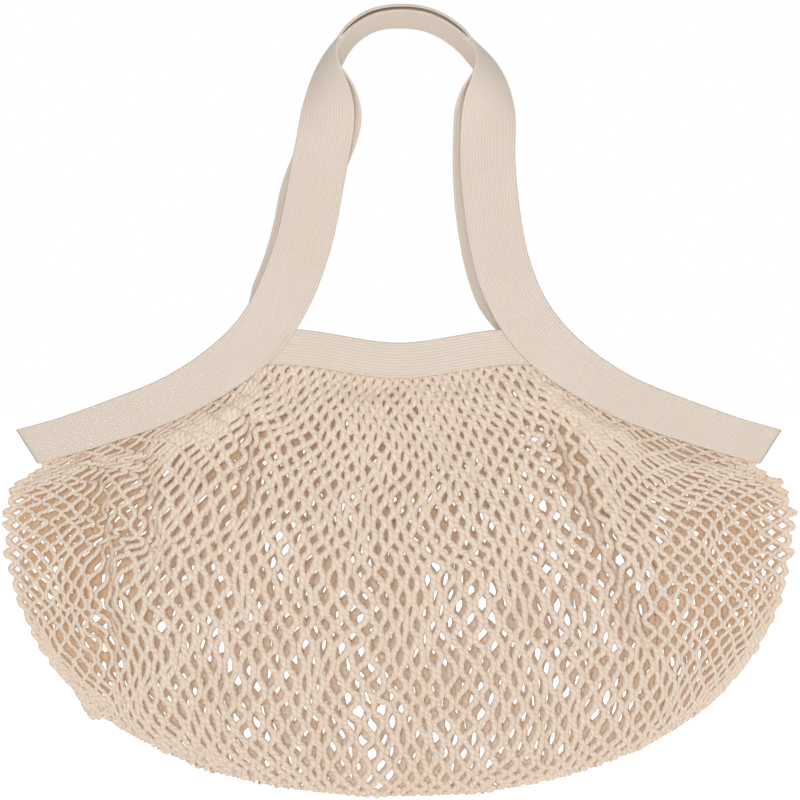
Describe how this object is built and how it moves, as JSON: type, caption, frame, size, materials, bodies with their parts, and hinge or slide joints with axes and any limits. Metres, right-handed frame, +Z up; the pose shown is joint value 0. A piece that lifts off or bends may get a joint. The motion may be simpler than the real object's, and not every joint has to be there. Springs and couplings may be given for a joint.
{
  "type": "mesh produce bag",
  "caption": "String market bag: a knitted cotton net pouch hemmed with flat knit tape that also forms two carrying handles, which fold down over the front and back.",
  "frame": {"origin": "the hanging point, on the underside of the inner handle at the top of its arch, in the bag's middle plane", "axes": "+X to the right seen from the front, +Y to the back, +Z up"},
  "size_m": [0.5962, 0.0548, 0.604],
  "materials": {
    "net": "knitted natural cotton cord",
    "tape": "rib-knit natural cotton tape",
    "thread": "cotton sewing thread"
  },
  "bodies": {
    "bag": {"net_front_wall": "net", "net_back_wall": "net", "left_side_band": "tape", "right_side_band": "tape", "front_mouth_band": "tape", "back_mouth_band": "tape", "front_hem_stitches": "thread", "back_hem_stitches": "thread", "front_left_join_stitches": "thread", "front_right_join_stitches": "thread", "back_left_join_stitches": "thread", "back_right_join_stitches": "thread"},
    "front_handle": {"front_handle_strap": "tape"},
    "back_handle": {"back_handle_strap": "tape"}
  },
  "joints": [
    {"name": "front_handle_fold", "type": "hinge", "parent": "bag", "child": "front_handle", "pos_m": [0, -0.0142, -0.232], "axis": [1, 0, 0], "range_deg": [0, 165]},
    {"name": "back_handle_fold", "type": "hinge", "parent": "bag", "child": "back_handle", "pos_m": [0, 0.0142, -0.232], "axis": [-1, 0, 0], "range_deg": [0, 165]}
  ]
}
